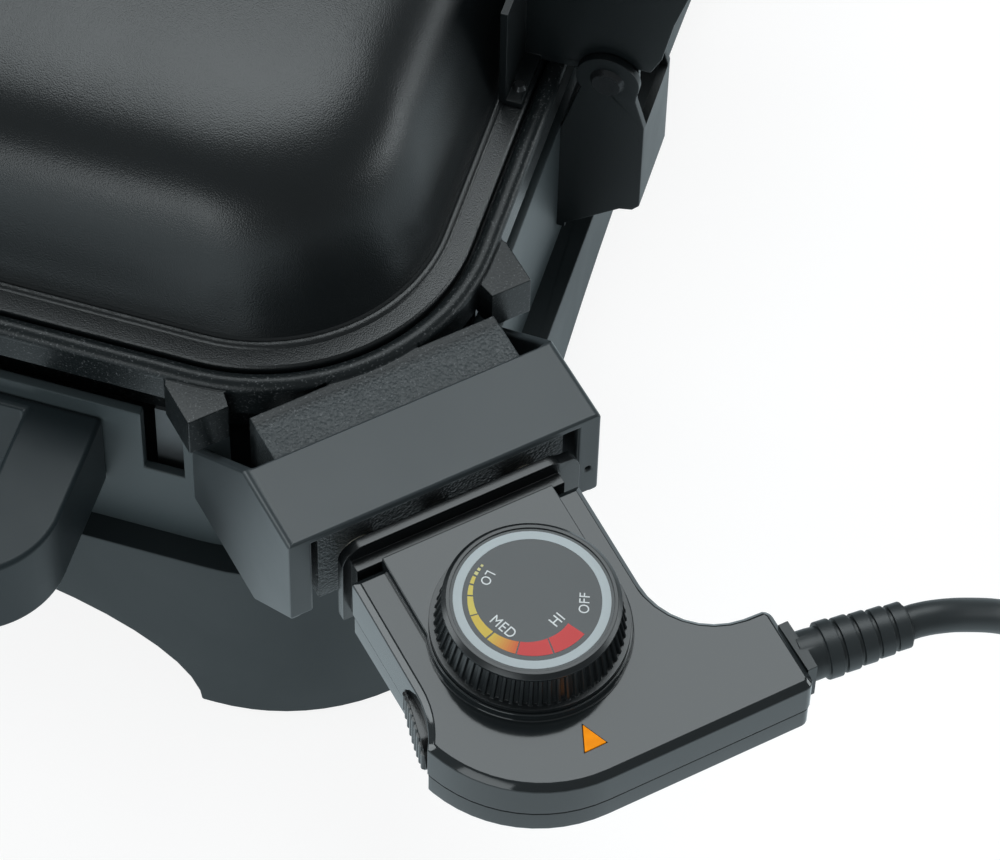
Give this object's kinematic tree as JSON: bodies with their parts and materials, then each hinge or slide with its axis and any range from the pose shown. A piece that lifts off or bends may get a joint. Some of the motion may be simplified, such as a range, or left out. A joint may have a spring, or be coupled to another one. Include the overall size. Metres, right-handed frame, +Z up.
{
  "type": "electric barbecue grill",
  "caption": "Countertop electric barbecue grill: domed hinged lid over a cast ridged plate, arched stand, drip tray, carry handles and a plug-in dial heat controller with cord.",
  "frame": {"origin": "on the table, under the middle of the stand", "axes": "+X to the right end handle, +Y to the rear hinges, +Z up; the controller plugs in at the rear right corner"},
  "size_m": [0.5822, 0.6418, 0.2153],
  "materials": {
    "base_plastic": "satin dark grey moulded plastic",
    "handle_plastic": "satin blue-black moulded plastic",
    "foot_rubber": "matt black rubber",
    "cast_plate": "cast, non-stick coated, dark grey speckle",
    "lid_coat": "satin black powder coat with a fine stipple",
    "bracket_coat": "satin black coated sheet",
    "guard_coat": "smooth satin dark grey",
    "screw_steel": "plated steel screws",
    "dark_steel": "blackened steel",
    "post_metal": "turned aluminium",
    "element_sheath": "heat-darkened sheath",
    "bright_steel": "bright steel",
    "sheet_aluminium": "mill-finish sheet",
    "ceramic": null,
    "housing_gloss": "glossy black moulding",
    "collar_plastic": "satin black moulding",
    "dial_print": "printed dial face with a white ring",
    "brass": "brass contacts",
    "switch_body": "brown switch body",
    "lens_orange": "translucent orange",
    "lamp_glass": "small glass lamp",
    "cord_rubber": "satin black cord sheath",
    "tie_plastic": "black strap"
  },
  "bodies": {
    "base": {"base_stand": "base_plastic", "rubber_feet": "foot_rubber", "base_tub": "base_plastic", "stand_screws": "screw_steel", "right_handle": "handle_plastic", "left_handle": "handle_plastic", "handle_screws": "screw_steel", "grill_plate": "cast_plate", "plate_screws": "screw_steel", "heating_element": "element_sheath", "element_clips": "bright_steel", "clip_screws": "screw_steel", "terminal_pins": "bright_steel", "pin_insulators": "ceramic", "heat_reflector": "sheet_aluminium", "probe_guard": "guard_coat", "guard_screws": "screw_steel", "right_base_bracket": "bracket_coat", "left_base_bracket": "bracket_coat", "bracket_screws": "screw_steel", "hinge_pins": "dark_steel", "tray_rails": "bright_steel", "rail_screws": "screw_steel"},
    "lid": {"lid_shell": "lid_coat", "right_lid_bracket": "bracket_coat", "left_lid_bracket": "bracket_coat", "lid_rivets": "dark_steel", "lid_handle": "handle_plastic", "handle_posts": "post_metal", "post_screws": "screw_steel"},
    "tray": {"drip_tray": "sheet_aluminium"},
    "controller": {"controller_top": "housing_gloss", "controller_base": "housing_gloss", "socket_collar": "collar_plastic", "contact_sockets": "brass", "sensor_probe": "bright_steel", "thermostat_switch": "switch_body", "side_grip": "collar_plastic", "indicator_lens": "lens_orange", "indicator_lamp": "lamp_glass", "controller_screws": "screw_steel", "strain_relief": "cord_rubber", "power_cord": "cord_rubber", "cord_coil": "cord_rubber", "cord_tie": "tie_plastic", "plug_body": "cord_rubber", "plug_blades": "brass"},
    "dial": {"dial_knob": "housing_gloss", "dial_face": "dial_print", "knob_shaft": "bright_steel"}
  },
  "joints": [
    {"name": "lid_hinge", "type": "hinge", "parent": "base", "child": "lid", "pos_m": [0, 0.1783, 0.1585], "axis": [-1, 0, 0], "range_deg": [0, 90]},
    {"name": "tray_slide", "type": "slide", "parent": "base", "child": "tray", "axis": [0, -1, 0], "range_m": [0, 0.2]},
    {"name": "controller_slide", "type": "slide", "parent": "base", "child": "controller", "axis": [0.7071, 0.7071, 0], "range_m": [0, 0.07]},
    {"name": "dial_turn", "type": "hinge", "parent": "controller", "child": "dial", "pos_m": [0.25675, 0.20873, 0.1438], "axis": [0.037, 0.037, 0.9986], "range_deg": [-35, 280]}
  ]
}
